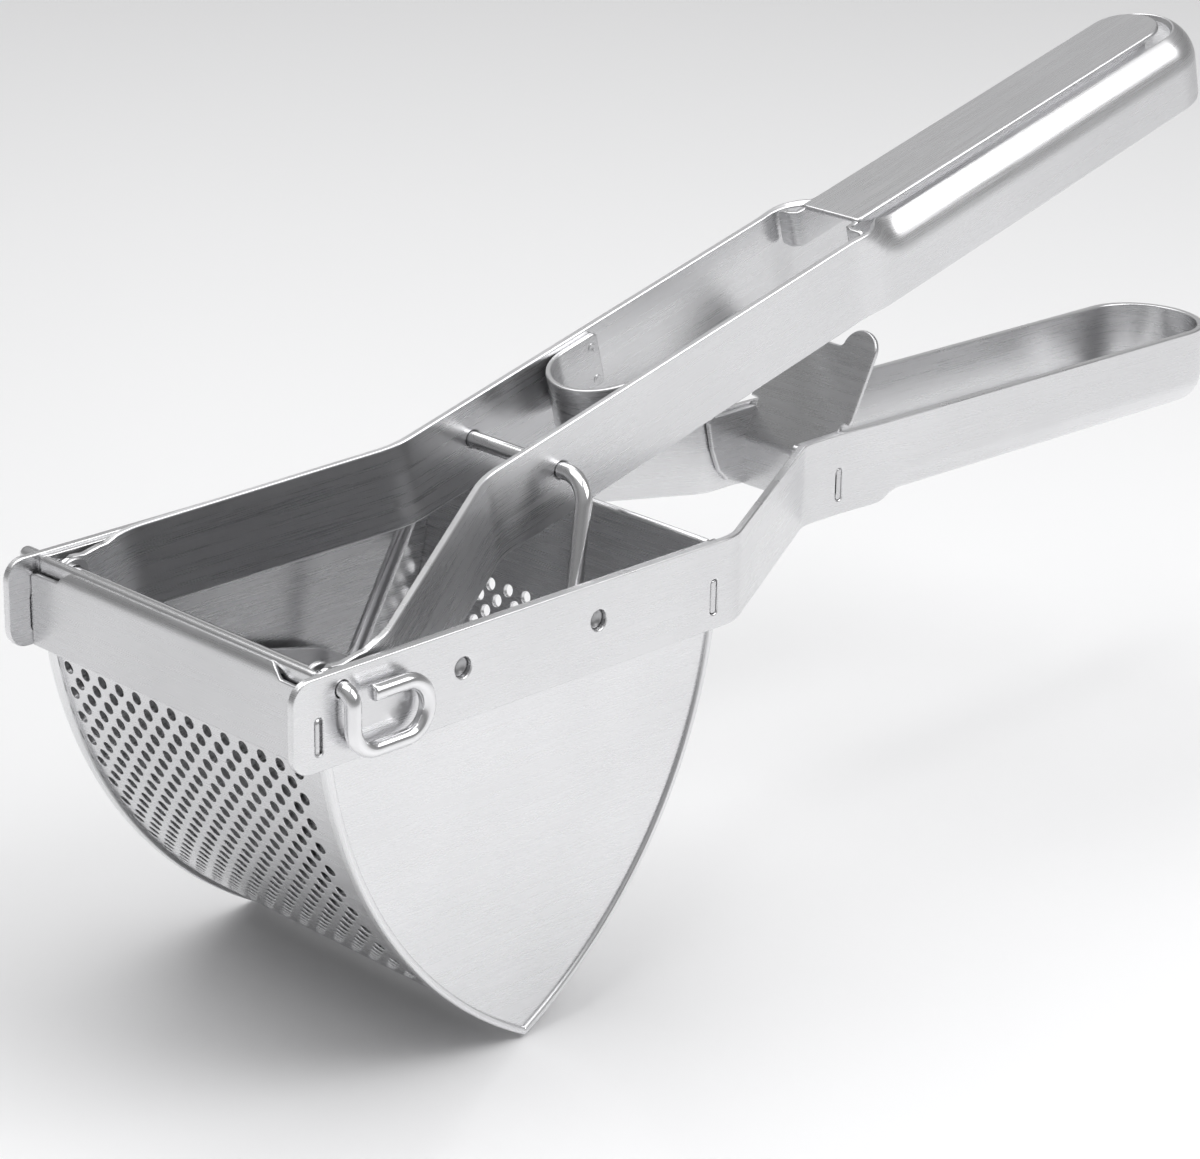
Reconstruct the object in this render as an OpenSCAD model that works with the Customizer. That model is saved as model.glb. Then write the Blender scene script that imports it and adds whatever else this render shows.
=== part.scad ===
// V-hopper potato ricer: folded sheet frame, pointed-arch hopper, wishbone
// lever, swinging press plate, wire bail and pull-out hinge pin.
// Origin on the hinge pin axis at mid width, +X to the handles, +Z up.
// The lever is drawn at its rest angle, resting just above the neck bracket.

/* [Frame] */
// outer width over the two frame straps
frame_w = 79; // [70:0.5:95]
// height of the frame strap
strap_h = 17; // [12:0.5:24]
// thickness of the strap stock
strap_t = 1.5; // [1:0.1:2.5]
// top edge of the frame strap above the pin axis
strap_top = 3.5; // [2.5:0.1:6]
// front end of the straps, in front of the pin axis
strap_nose = 11; // [8:0.5:16]
// radius on the corners of the strap ends
nose_r = 4; // [1:0.5:6]
// centre of the lower handle loop along X
loop_x = 268; // [200:1:320]
// outer width of both handles
grip_w = 27.4; // [22:0.2:34]
// downward slope of the lower handle in degrees
grip_droop = 1.3; // [0:0.1:5]
// radius of the rolled-in edges of the lower handle
roll_r = 5.6; // [3:0.1:6]

/* [Hopper] */
// thickness of the side panels
panel_t = 1.2; // [0.8:0.1:2]
// radius of the pointed-arch panel edge
arch_r = 92; // [80:0.5:110]
// distance between the two arch centres
arch_gap = 88; // [70:0.5:100]
// thickness of the perforated sheets
screen_t = 1; // [0.6:0.1:1.6]
// diameter of the round perforations
hole_d = 2.4; // [1.6:0.1:3]
// spacing of perforations in a row
hole_pitch = 4.88; // [4:0.02:8]
// distance between neighbouring rows, every other row shifted by half a pitch
row_pitch = 2.67; // [2.4:0.01:5]
// perforations in the longer rows
hole_count = 14; // [5:1:15]
// sideways shift of the perforated field
hole_shift = 2.44; // [-3:0.01:3]

/* [Lever] */
// rest angle of the lever above level, degrees
lever_rest = 14.5; // [10:0.1:30]
// lever length from pin axis to the centre of its end loop
lever_len = 264.7; // [200:1:320]
// top edge of the lever strap above the pin axis
lever_top = 1.5; // [0:0.1:4]
// outer width of the wishbone at the pin
fork_w = 71.4; // [60:0.2:72]
// outer width of the lever's grip
lever_grip_w = 26.8; // [22:0.2:34]
// radius of the rounded upper edges of the lever's grip
lever_roll_r = 8.5; // [4:0.1:10]
// outer width of the parallel arms
arm_w = 25.1; // [20:0.1:30]
// thickness of the grip plate, nose band and bracket
insert_t = 1.2; // [0.8:0.1:2]

/* [Wire] */
// diameter of the hinge pin wire
pin_d = 3; // [2.5:0.1:5]
// diameter of the bail wire
bail_d = 3.2; // [2.5:0.1:5]
// bail crossbar position along the lever
bail_u = 77.7; // [60:0.5:100]
// bail crossbar height in the lever
bail_v = -6.2; // [-10:0.5:0]
// length of the bail legs
leg_len = 56; // [50:1:80]

/* [Press] */
// thickness of the press plate
press_t = 1.2; // [0.8:0.1:2]
// width of the press plate over its side wings
press_w = 67.4; // [50:0.2:70]
// swing from full squeeze to the rest pose, degrees
press_lift = 1.5; // [0:0.1:5]

/* [Hidden] */
eps = 0;
lap = 0.3;
skim = 0.01;
fine = 96;
yo = frame_w / 2;
yi = yo - strap_t;
strap_bot = strap_top - strap_h;
panel_yi = yi - panel_t;
rim_gap = 3;
fit = 0.1;
pin_hole = pin_d / 2 + fit;
gw = grip_w / 2;
// neck bends
neck_x1 = 95.5;
neck_x2 = 142.5;
ym1 = yo - strap_t / 2;
ym2 = gw - strap_t / 2;
neck_a = atan2(ym1 - ym2, neck_x2 - neck_x1);
neck_r = 10;
neck_t = neck_r * tan(neck_a / 2);
roll_x = 166;
droop_x = 140;
// slots and tabs
slot_w = 1.6;
slot_h = 6.6;
slot_z = -7.1;
bar_x = -6;
bar_t = 1.5;
slot_x1 = bar_x + bar_t / 2;
rear_r = 89.5;
slot_x2 = sqrt(pow(rear_r + screen_t / 2, 2) - slot_z * slot_z);
slot_x3 = 153;
rivet_xs = [27.3, 60];
rivet_z = -3.7;
rivet_d = 3.8;
// front sheet
front_r = 90;
tip_x = arch_gap / 2;
tip_z = -sqrt(arch_r * arch_r - tip_x * tip_x);
lip_x = -4.5;
// lever
lever_bot = lever_top - strap_h;
lever_gw = lever_grip_w / 2;
lip_y = 9.2;
plate_w = 7.5;
plate_top = lever_top + 0.4;
plate_end = lever_len - 2;
fork_y = fork_w / 2 - strap_t / 2;
arm_y = arm_w / 2 - strap_t / 2;
grip_y = lever_gw - strap_t / 2;
fork_u1 = 14;
fork_u2 = 60;
fork_a = atan2(fork_y - arm_y, fork_u2 - fork_u1);
fork_r = 14;
fork_t = fork_r * tan(fork_a / 2);
flare_u1 = 161;
flare_u2 = 168;
flare_a = atan2(grip_y - arm_y, flare_u2 - flare_u1);
nose_u = 103;
leg_end = 111.4;
band_top = 0.5;
band_bot = -10.5;
// bracket
web_x = 152;
web_bend = -3;
web_a = 27;
web_len = 22.7;
ear_r = 4.3;
// bail
bail_tilt = 18.6;
leg_splay = 10.6;
bend_r = 6;
bail_y = 19;
foot_r = 3;
// press
press_r = 88.6;
wing_y = press_w / 2;
eye_r = 3.1;

// -- helpers -----------------------------------------------------------
// flat shape in the XZ plane pushed along Y from y0 to y1
module side(y0, y1)
{
    translate([0, y1, 0])
        rotate([90, 0, 0])
            linear_extrude(y1 - y0)
                children();
}

// ring sector between two radii and two angles
module sector(r0, r1, a0, a1)
{
    am = (a0 + a1) / 2;
    big = 2 * r1;
    intersection()
    {
        difference()
        {
            circle(r = r1, $fn = fine);
            circle(r = r0, $fn = fine);
        }
        polygon([[0, 0],
                 [big * cos(a0), big * sin(a0)],
                 [big * cos(am), big * sin(am)],
                 [big * cos(a1), big * sin(a1)]]);
    }
}

// plan of one side of a strap that bends in by angle a between two offsets
module joggle(xa, x1, y1, x2, y2, xb, r)
{
    a = atan2(y1 - y2, x2 - x1);
    t = r * tan(a / 2);
    len = norm([x2 - x1, y1 - y2]) - 2 * t;
    h = strap_t / 2;
    translate([xa, y1 - h])
        square([x1 - t - xa + eps, strap_t]);
    translate([x1 - t, y1 - r])
        sector(r - h, r + h, 90 - a, 90);
    translate([x1 + t * cos(a), y1 - t * sin(a)])
        rotate(-a)
            translate([-lap, -h + skim])
                square([len + 2 * lap, strap_t - 2 * skim]);
    translate([x2 + t, y2 + r])
        sector(r - h, r + h, 270 - a, 270);
    translate([x2 + t - eps, y2 - h])
        square([xb - x2 - t + eps, strap_t]);
}

// channel wall section: upright wall at +X, rolled inward at the bottom
// with radius r until its outer face reaches the offset lip
module rolled_wall(w, top, bot, lip, r)
{
    a = lip > w - r ? acos((lip - w + r) / r) : 90;
    translate([w - strap_t, bot + r])
        square([strap_t, top - bot - r]);
    translate([w - r, bot + r])
        sector(r - strap_t, r, 360 - a, 360);
    if (lip < w - r)
        translate([lip, bot])
            square([w - r - lip + eps, strap_t]);
}

// grip: two walls and a half-round end, rolled edge at the bottom
module grip(x0, xc, w, top, bot, lip, r)
{
    for (s = [0, 1])
        mirror([0, s, 0])
            translate([x0, 0, 0])
                rotate([90, 0, 90])
                    linear_extrude(xc - x0 + eps)
                        rolled_wall(w, top, bot, lip, r);
    translate([xc, 0, 0])
        rotate([0, 0, -90])
            rotate_extrude(angle = 180, $fn = fine)
                rolled_wall(w, top, bot, lip, r);
}

// wire run of diameter d along +X
module wire(d, len)
{
    rotate([0, 90, 0])
        cylinder(d = d, h = len, $fn = 32);
}

// wire elbow in the XY plane, centre at the origin
module elbow(d, r, a0, a1)
{
    rotate([0, 0, a0])
        rotate_extrude(angle = a1 - a0, $fn = fine)
            translate([r, 0])
                circle(d = d, $fn = 32);
}

// -- frame -------------------------------------------------------------
module strap_side_flat()
{
    x_end = neck_x1 - neck_t;
    difference()
    {
        union()
        {
            translate([-strap_nose + nose_r, strap_bot])
                square([x_end + strap_nose - nose_r, strap_h]);
            translate([-strap_nose, strap_bot + nose_r])
                square([nose_r + eps, strap_h - 2 * nose_r]);
            for (z = [strap_bot + nose_r, strap_top - nose_r])
                translate([-strap_nose + nose_r, z])
                    circle(r = nose_r, $fn = 48);
        }
        circle(r = pin_hole, $fn = 48);
        for (x = rivet_xs)
            translate([x, rivet_z])
                circle(d = rivet_d, $fn = 48);
        for (x = [slot_x1, slot_x2])
            translate([x - slot_w / 2, slot_z - slot_h / 2])
                square([slot_w, slot_h]);
    }
}

module neck_side()
{
    difference()
    {
        translate([0, 0, strap_bot])
            linear_extrude(strap_h)
                joggle(neck_x1 - neck_t - 1, neck_x1, ym1, neck_x2, ym2, roll_x + 1, neck_r);
        translate([slot_x3 - slot_w / 2, 0, slot_z - slot_h / 2])
            cube([slot_w, yo, slot_h]);
    }
}

module frame_strap()
{
    color("Silver")
    {
        side(yi, yo)
            strap_side_flat();
        side(-yo, -yi)
            strap_side_flat();
        for (s = [0, 1])
            mirror([0, s, 0])
                neck_side();
        translate([droop_x, 0, 0])
            rotate([0, grip_droop, 0])
                translate([-droop_x, 0, 0])
                    grip(roll_x, loop_x, gw, strap_top, strap_bot, 7.5, roll_r);
    }
}

module front_bar()
{
    bar_top = strap_top - 0.6;
    shoulder = 8;
    color("Gainsboro")
    difference()
    {
        union()
        {
            translate([bar_x, -yi + 0.05, strap_bot])
                cube([bar_t, 2 * yi - 0.1, bar_top - strap_bot]);
            translate([bar_x, -yo + 0.05, slot_z - slot_h / 2 + 0.05])
                cube([bar_t, 2 * yo - 0.1, slot_h - 0.1]);
        }
        for (s = [0, 1])
            mirror([0, s, 0])
                translate([bar_x - 1, yi, bar_top])
                    rotate([0, 90, 0])
                        linear_extrude(bar_t + 2)
                            polygon([[-1, 1], [-1, -shoulder], [0, -shoulder], [2.4, -2.5], [2.4, 1]]);
    }
}

// upper plate of the bracket: across the handle, up the slope, two ears
module bracket_plate(w, low, len, r)
{
    translate([-w, low])
        square([2 * w, len - low]);
    for (s = [-1, 1])
        translate([s * (w - r), len])
            circle(r = r, $fn = 48);
}

// the web seen from the side: upright inside the handle, leaning above it
module bracket_side(lean)
{
    in_x = web_x + lean * sin(web_a) + skim * cos(web_a);
    in_z = web_bend + lean * cos(web_a) - skim * sin(web_a);
    thick = insert_t - 2 * skim;
    polygon([[web_x, strap_bot + 0.2],
             [web_x + insert_t, strap_bot + 0.2],
             [web_x + insert_t, web_bend - insert_t * tan(web_a / 2)],
             [in_x + thick * cos(web_a), in_z - thick * sin(web_a)],
             [in_x, in_z],
             [web_x, web_bend]]);
}

module neck_bracket()
{
    wy = gw - strap_t - 0.05;
    wide = gw - 0.4;
    step = 7.8;
    foot_x = web_x + insert_t;
    color("LightSteelBlue")
    {
        side(-wy + 0.3, wy - 0.3)
            bracket_side(step + 0.4);
        translate([web_x, 0, web_bend])
            rotate([0, web_a, 0])
                rotate([90, 0, 90])
                    linear_extrude(insert_t)
                        bracket_plate(wide, step, web_len, ear_r);
        for (s = [0, 1])
            mirror([0, s, 0])
            {
                side(wy - insert_t, wy)
                    polygon([[141.3, strap_top - 0.5],
                             [141.5, 1.5],
                             [142.6, -4],
                             [144.6, -8.7],
                             [147.4, -11.5],
                             [150.7, strap_bot + 0.3],
                             [foot_x + 0.1, strap_bot + 0.3],
                             [foot_x + 0.1, web_bend - 0.6],
                             [foot_x + 2.4, strap_top - 0.5]]);
                translate([slot_x3 - 0.7, wy - 0.8, slot_z - slot_h / 2 + 0.05])
                    cube([1.4, gw - 0.1 - wy + 0.8, slot_h - 0.1]);
            }
    }
}

// -- hopper ------------------------------------------------------------
module arch_flat(r)
{
    intersection()
    {
        circle(r = r, $fn = fine);
        translate([arch_gap, 0])
            circle(r = r, $fn = fine);
        translate([-20, -r])
            square([arch_gap + 40, r + eps]);
    }
    translate([arch_gap - arch_r, 0])
        square([2 * arch_r - arch_gap, strap_top - 0.3]);
}

module panel()
{
    difference()
    {
        union()
        {
            side(panel_yi, yi)
                difference()
                {
                    arch_flat(arch_r);
                    circle(r = pin_hole, $fn = 48);
                    translate([slot_x2 - slot_w / 2, slot_z - slot_h / 2])
                        square([slot_w, slot_h]);
                }
            side(yi - eps, yi + 0.7)
                intersection()
                {
                    difference()
                    {
                        arch_flat(arch_r);
                        intersection()
                        {
                            circle(r = arch_r - 1.3, $fn = fine);
                            translate([arch_gap, 0])
                                circle(r = arch_r - 1.3, $fn = fine);
                        }
                    }
                    translate([-20, -arch_r])
                        square([arch_gap + 40, arch_r + strap_bot - rim_gap]);
                }
        }
    }
}

module panel_left()
{
    color("WhiteSmoke")
        panel();
}

module panel_right()
{
    color("WhiteSmoke")
        mirror([0, 1, 0])
            panel();
}

// staggered perforations on a curved sheet about the Y axis; odd = 1 starts
// with a shorter row
module perforations(r, a_start, rows, odd)
{
    step = row_pitch / r * 180 / PI;
    for (i = [0 : rows - 1])
    {
        last = hole_count - 1 - (i + odd) % 2;
        for (j = [0 : last])
            rotate([0, 90 - a_start + i * step, 0])
                translate([0, (j - last / 2) * hole_pitch + hole_shift, r - 3])
                    cylinder(d = hole_d, h = 6, $fn = 24);
    }
}

module front_screen()
{
    z_arc = -9;
    x_out = arch_gap - sqrt(pow(front_r + screen_t, 2) - z_arc * z_arc);
    x_in = arch_gap - sqrt(pow(front_r, 2) - z_arc * z_arc);
    color("Silver")
    difference()
    {
        side(-panel_yi, panel_yi)
            union()
        {
            intersection()
            {
                translate([arch_gap, 0])
                    difference()
                    {
                        circle(r = front_r + screen_t, $fn = fine);
                        circle(r = front_r, $fn = fine);
                    }
                translate([-10, -arch_r])
                    square([tip_x + 10 - 0.2, arch_r + z_arc + 0.4]);
            }
            polygon([[x_out, z_arc], [x_in, z_arc], [lip_x + screen_t, -3], [lip_x, -3]]);
            translate([lip_x, -3.2])
                square([screen_t, 5.6]);
            translate([lip_x + 0.9, 2.4])
                circle(r = 0.9, $fn = 32);
        }
        translate([arch_gap, 0, 0])
            mirror([1, 0, 0])
                perforations(front_r, -11.5, 29, 0);
    }
}

module rear_screen()
{
    color("Silver")
    difference()
    {
        union()
        {
            side(-panel_yi, panel_yi)
                union()
            {
                intersection()
                {
                    difference()
                    {
                        circle(r = rear_r + screen_t, $fn = fine);
                        circle(r = rear_r, $fn = fine);
                    }
                    translate([tip_x + 0.2, -arch_r])
                        square([arch_r, arch_r + 2.4]);
                }
                translate([rear_r + 0.9, 2.4])
                    circle(r = 0.9, $fn = 32);
            }
            for (s = [-1, 1])
                translate([slot_x2 - 0.7, s > 0 ? panel_yi - 2 : -yo + 0.1, slot_z - slot_h / 2 + 0.05])
                    cube([1.4, yo - panel_yi + 1.9, slot_h - 0.1]);
        }
        perforations(rear_r, -12.9, 28, 1);
    }
}

module strap_rivets()
{
    color("LightGrey")
        for (s = [-1, 1])
            for (x = rivet_xs)
                translate([x, s * (yi + 0.5), rivet_z])
                    rotate([90, 0, 0])
                        cylinder(d = rivet_d - 0.1, h = 1, center = true, $fn = 48);
}

// -- lever, drawn level then raised to the rest angle --------------------
module raise()
{
    rotate([0, -lever_rest, 0])
        children();
}

module arm_plan()
{
    joggle(fork_u1 - fork_t - 1, fork_u1, fork_y, fork_u2, arm_y, flare_u1, fork_r);
    h = strap_t / 2;
    translate([flare_u1, arm_y])
        rotate(flare_a)
            translate([-0.1, -h])
                square([norm([flare_u2 - flare_u1, grip_y - arm_y]) + 0.2, strap_t]);
    translate([flare_u2, grip_y - h])
        square([3, strap_t]);
}

// flat front end of one arm: eye for the pin, tongue and rounded corners
module arm_flat()
{
    u0 = 6.6;
    u1 = fork_u1 - fork_t;
    r = 4;
    difference()
    {
        union()
        {
            circle(r = 3.1, $fn = 48);
            polygon([[-2.2, -1.8], [4, -8.5], [u0 + 1, -8.5], [u0 + 1, lever_top - 0.4], [4, 1.6], [0.6, 2.6]]);
            translate([u0, lever_bot + r])
                square([u1 - u0, strap_h - 2 * r]);
            translate([u0 + r, lever_bot])
                square([u1 - u0 - r, strap_h]);
            for (v = [lever_bot + r, lever_top - r])
                translate([u0 + r, v])
                    circle(r = r, $fn = 48);
        }
        circle(r = pin_hole, $fn = 48);
    }
}

module lever_side()
{
    difference()
    {
        union()
        {
            translate([0, 0, lever_bot])
                linear_extrude(strap_h)
                    arm_plan();
            side(fork_y - strap_t / 2, fork_y + strap_t / 2)
                arm_flat();
        }
        translate([bail_u, yo, bail_v])
            rotate([90, 0, 0])
                cylinder(d = bail_d + 0.2, h = yo, $fn = 48);
    }
}

module lever_strap()
{
    color("Silver")
    raise()
    {
        for (s = [0, 1])
            mirror([0, s, 0])
                lever_side();
        translate([0, 0, lever_top + lever_bot])
            mirror([0, 0, 1])
                grip(flare_u2 + 1, lever_len, lever_gw, lever_top, lever_bot, lip_y, lever_roll_r);
    }
}

// plate closing the top of the grip, with skirts and two ears
module grip_plate()
{
    arm_in = arm_y - strap_t / 2 - 0.05;
    skirt = 8;
    color("Gainsboro")
    raise()
    {
        translate([flare_u2, -plate_w, plate_top - insert_t])
            cube([plate_end - flare_u2, 2 * plate_w, insert_t]);
        translate([plate_end, 0, plate_top - insert_t])
            cylinder(r = plate_w, h = insert_t, $fn = fine);
        for (s = [0, 1])
            mirror([0, s, 0])
            {
                side(plate_w - insert_t, plate_w)
                    translate([flare_u2 - 2, plate_top - skirt])
                        square([plate_end - flare_u2, skirt - 0.1]);
                side(plate_w - insert_t, arm_in)
                    translate([flare_u2 - 3.2, plate_top - skirt])
                        square([insert_t, skirt - 1]);
            }
    }
}

// U-shaped band between the arms with a half-round nose
module nose_band()
{
    arm_in = arm_y - strap_t / 2 - 0.05;
    color("Gainsboro")
    raise()
        translate([nose_u, 0, band_bot])
            linear_extrude(band_top - band_bot)
            {
                sector(arm_in - insert_t, arm_in, 90, 270);
                for (y = [-arm_in, arm_in - insert_t])
                    translate([-eps, y])
                        square([leg_end - nose_u + eps, insert_t]);
            }
}

// half of the bail in its own plane, from the end of the crossbar to the foot
bail_a = 90 - leg_splay;
bail_t = bend_r * tan(bail_a / 2);
foot_x = bail_y + leg_len * cos(bail_a);
foot_y = -leg_len * sin(bail_a);
foot_t = foot_r * tan(bail_a / 2);
bend_x = bail_y - bail_t;

module bail_side()
{
    translate([bend_x, -bend_r, 0])
        elbow(bail_d, bend_r, 90 - bail_a, 90);
    translate([bend_x + bend_r * sin(bail_a), bend_r * cos(bail_a) - bend_r, 0])
        rotate([0, 0, -bail_a])
            wire(bail_d, leg_len - bail_t - foot_t);
    translate([foot_x + foot_t, foot_y + foot_r, 0])
        elbow(bail_d, foot_r, 270 - bail_a, 270);
    translate([foot_x + foot_t, foot_y, 0])
        wire(bail_d, wing_y + 1 - foot_x - foot_t);
    // a ball over each seam between a straight run and a bend
    for (p = [[bend_x, 0],
              [bend_x + bend_r * sin(bail_a), bend_r * cos(bail_a) - bend_r],
              [foot_x - foot_t * cos(bail_a), foot_y + foot_t * sin(bail_a)],
              [foot_x + foot_t, foot_y]])
        translate([p[0], p[1], 0])
            sphere(d = bail_d + 0.04, $fn = 32);
}

module bail_wire()
{
    color("White")
    raise()
        translate([bail_u, 0, bail_v])
            rotate([0, lever_rest, 0])
                rotate([0, bail_tilt, 0])
                    rotate([90, 0, 90])
                    {
                        translate([-bend_x, 0, 0])
                            wire(bail_d, 2 * bend_x);
                        for (s = [0, 1])
                            mirror([s, 0, 0])
                                bail_side();
                    }
}

// -- press plate, drawn fully squeezed then swung back to rest ------------
module swing()
{
    rotate([0, -press_lift, 0])
        children();
}

module press_region(r)
{
    intersection()
    {
        circle(r = r, $fn = fine);
        translate([-10, -r])
            square([r + 10, r - 5]);
    }
}

module press_plate()
{
    color("Gainsboro")
    swing()
    {
        side(-wing_y + press_t, wing_y - press_t)
            intersection()
            {
                translate([arch_gap, 0])
                    difference()
                    {
                        circle(r = press_r, $fn = fine);
                        circle(r = press_r - press_t, $fn = fine);
                    }
                press_region(press_r);
            }
    }
}

// side of the press: wing, arm up to the hinge and an eye for the pin
module wing_flat()
{
    circle(r = eye_r, $fn = 48);
    intersection()
    {
        translate([arch_gap, 0])
            circle(r = press_r, $fn = fine);
        circle(r = press_r, $fn = fine);
        union()
        {
            polygon([[-10, -100], [54, -100], [62, -46], [66, -40], [64.5, -34], [56, -31], [18, -21], [-10, -21]]);
            polygon([[-10, -22], [12, -22], [3, -6], [2.6, 0], [-10, 0]]);
        }
    }
}

module wing()
{
    difference()
    {
        side(wing_y - press_t, wing_y)
            difference()
            {
                wing_flat();
                circle(r = pin_hole, $fn = 48);
            }
        translate(bail_foot())
            rotate([90, 0, 0])
                cylinder(d = bail_d + 0.2, h = 20, center = true, $fn = 48);
    }
}

function lever_pt(u, v) = [u * cos(lever_rest) - v * sin(lever_rest),
                           u * sin(lever_rest) + v * cos(lever_rest)];
function turn(p, a) = [p[0] * cos(a) - p[1] * sin(a), p[0] * sin(a) + p[1] * cos(a)];
leg_drop = leg_len * cos(leg_splay);
foot_rest = lever_pt(bail_u, bail_v) + leg_drop * [-sin(bail_tilt), -cos(bail_tilt)];
foot = turn(foot_rest, -press_lift);
function bail_foot() = [foot[0], wing_y, foot[1]];

module wing_left()
{
    color("Gainsboro")
        swing()
            wing();
}

module wing_right()
{
    color("Gainsboro")
        swing()
            mirror([0, 1, 0])
                wing();
}

// -- pull pin --------------------------------------------------------------
module pull_pin()
{
    y_loop = -yo - 2.5;
    r1 = 2.5;
    r2 = 5;
    r3 = 5.1;
    knee_z = -6.3;
    side_x = 11.6;
    tip_gap = 4.2;
    color("White")
    {
        translate([0, y_loop + r1, 0])
            rotate([0, 0, 90])
                wire(pin_d, yo + 8 - y_loop - r1 - 1);
        translate([0, yo + 7, 0])
            sphere(d = pin_d, $fn = 32);
        translate([0, y_loop + r1, -r1])
            rotate([90, 0, 90])
                elbow(pin_d, r1, 90, 180);
        translate([0, y_loop, 0])
            rotate([90, 0, 0])
            {
                translate([0, -r1, 0])
                    rotate([0, 0, -90])
                        wire(pin_d, -knee_z - r1);
                translate([r2, knee_z, 0])
                    elbow(pin_d, r2, 180, 270);
                translate([r2 - eps, knee_z - r2, 0])
                    wire(pin_d, side_x - r2 + 2 * eps);
                translate([side_x, knee_z - r2 + r3, 0])
                    elbow(pin_d, r3, -90, 90);
                translate([tip_gap, knee_z - r2 + 2 * r3, 0])
                    wire(pin_d, side_x - tip_gap + eps);
            }
    }
}

frame_strap();
front_bar();
neck_bracket();
panel_left();
panel_right();
front_screen();
rear_screen();
strap_rivets();
lever_strap();
grip_plate();
nose_band();
bail_wire();
press_plate();
wing_left();
wing_right();
pull_pin();
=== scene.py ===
"""Looks of the hand potato ricer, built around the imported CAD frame.

Helper functions work in millimetres in the CAD frame and scale to metres when a piece is made.
"""

import math

import bpy
import numpy as np
from mathutils import Matrix, Vector, geometry


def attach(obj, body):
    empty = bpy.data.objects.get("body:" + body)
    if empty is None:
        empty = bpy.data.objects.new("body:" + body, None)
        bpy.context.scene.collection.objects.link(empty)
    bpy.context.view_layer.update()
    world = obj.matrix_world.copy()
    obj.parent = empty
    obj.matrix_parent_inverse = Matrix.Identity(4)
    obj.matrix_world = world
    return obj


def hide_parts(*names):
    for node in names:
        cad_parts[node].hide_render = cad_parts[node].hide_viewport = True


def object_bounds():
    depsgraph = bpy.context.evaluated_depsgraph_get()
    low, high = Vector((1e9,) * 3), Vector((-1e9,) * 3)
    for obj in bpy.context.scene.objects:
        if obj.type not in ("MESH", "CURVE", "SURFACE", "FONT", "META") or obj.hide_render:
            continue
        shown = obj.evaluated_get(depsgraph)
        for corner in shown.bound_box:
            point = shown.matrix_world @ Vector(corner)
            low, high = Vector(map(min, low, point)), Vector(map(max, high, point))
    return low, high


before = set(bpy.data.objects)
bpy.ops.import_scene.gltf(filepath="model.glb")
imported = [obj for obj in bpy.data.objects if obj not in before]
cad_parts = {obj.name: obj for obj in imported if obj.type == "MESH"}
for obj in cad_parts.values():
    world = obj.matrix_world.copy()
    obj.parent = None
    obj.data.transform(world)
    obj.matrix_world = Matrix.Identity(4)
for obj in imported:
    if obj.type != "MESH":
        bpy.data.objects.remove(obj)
cad_lo, cad_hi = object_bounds()

MM = 0.001

# Sizes in millimetres, the same as the CAD part's.
YO = 39.5                 # outer face of the frame straps
STRAP_T = 1.5
YI = YO - STRAP_T
TOP = 3.5                 # top edge of the straps
STRAP_H = 17.0
BOT = TOP - STRAP_H
NOSE = 11.0               # strap ends in front of the pin
GRIP_Y = 12.95            # mid surface of the lower handle
LOOP_X = 268.0
DROOP = math.radians(1.3)
NECK_X0, NECK_X1 = 95.5, 142.5   # where the straps start and stop drawing in
NECK_R = 10.0
DROOP_X = 140.0           # the lower handle droops from here
CORNER_R = 4.0            # corners of the strap blanks
SLOT_Z = -7.1
SLOT_XS = (-5.25, 89.72)  # slots for the front bar and for the screen's tabs
SLOT_X3 = 153.0           # slot for the neck bracket's tabs
RIVET_XS = (27.3, 60.0)
RIVET_Z = -3.7
RIVET_BORE = 1.9
BAR_X = -5.5              # mid surface of the front bar
PANEL_Y = 37.4            # mid surface of the side panels
ARCH_R = 92.0
ARCH_GAP = 88.0
FRONT_R = 90.5            # mid surface of the front screen
REAR_R = 90.0             # and of the rear screen
SCREEN_TOP = 2.4
SHEET_T = 1.2             # panels, bracket, grip plate, nose band and press
SCREEN_T = 1.0            # screens and front bar
RIM = 0.35                # rounding of a cut edge
HOLE_D = 2.4
PITCH = 4.88
ROW = 2.67                # distance between rows of perforations
PER_ROW = 14
HOLE_SHIFT = 2.44         # the perforated field sits off centre
REST = math.radians(14.5)
L_TOP = 1.5               # top edge of the lever strap
FORK_Y = 34.95
FORK_X = 3.3              # the lever strap's ends in front of the pin
ARM_Y = 11.8
L_NECK_X0, L_NECK_X1 = 161, 168  # where the arms widen into the grip
EYE_R = 3.05
LEVER_LEN = 264.7
L_GRIP_Y = 12.65          # mid surface of the lever's grip
PLATE_W = 7.5
PLATE_TOP = L_TOP + 0.4
PLATE_END = LEVER_LEN - 2
PIN_D = 3.0
PIN_BORE = PIN_D / 2 + 0.1
BAIL_D = 3.2
BAIL_BORE = BAIL_D / 2 + 0.1
BAIL_U, BAIL_V = 77.7, -6.2  # crossbar, along and across the lever
BAIL_SPLAY, BAIL_TILT = math.radians(10.6), math.radians(18.6)
BAIL_LEG = 56.0
BAIL_HALF = 19.0          # half the crossbar
LIFT = math.radians(1.5)  # the press stands this much above its lowest place
PRESS_R = 88.6
WING_Y = 33.7             # outer face of the press wings


# -- small geometry tools ------------------------------------------------------
def unit(a):
    return a / np.maximum(np.linalg.norm(a, axis=-1, keepdims=True), 1e-9)


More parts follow.
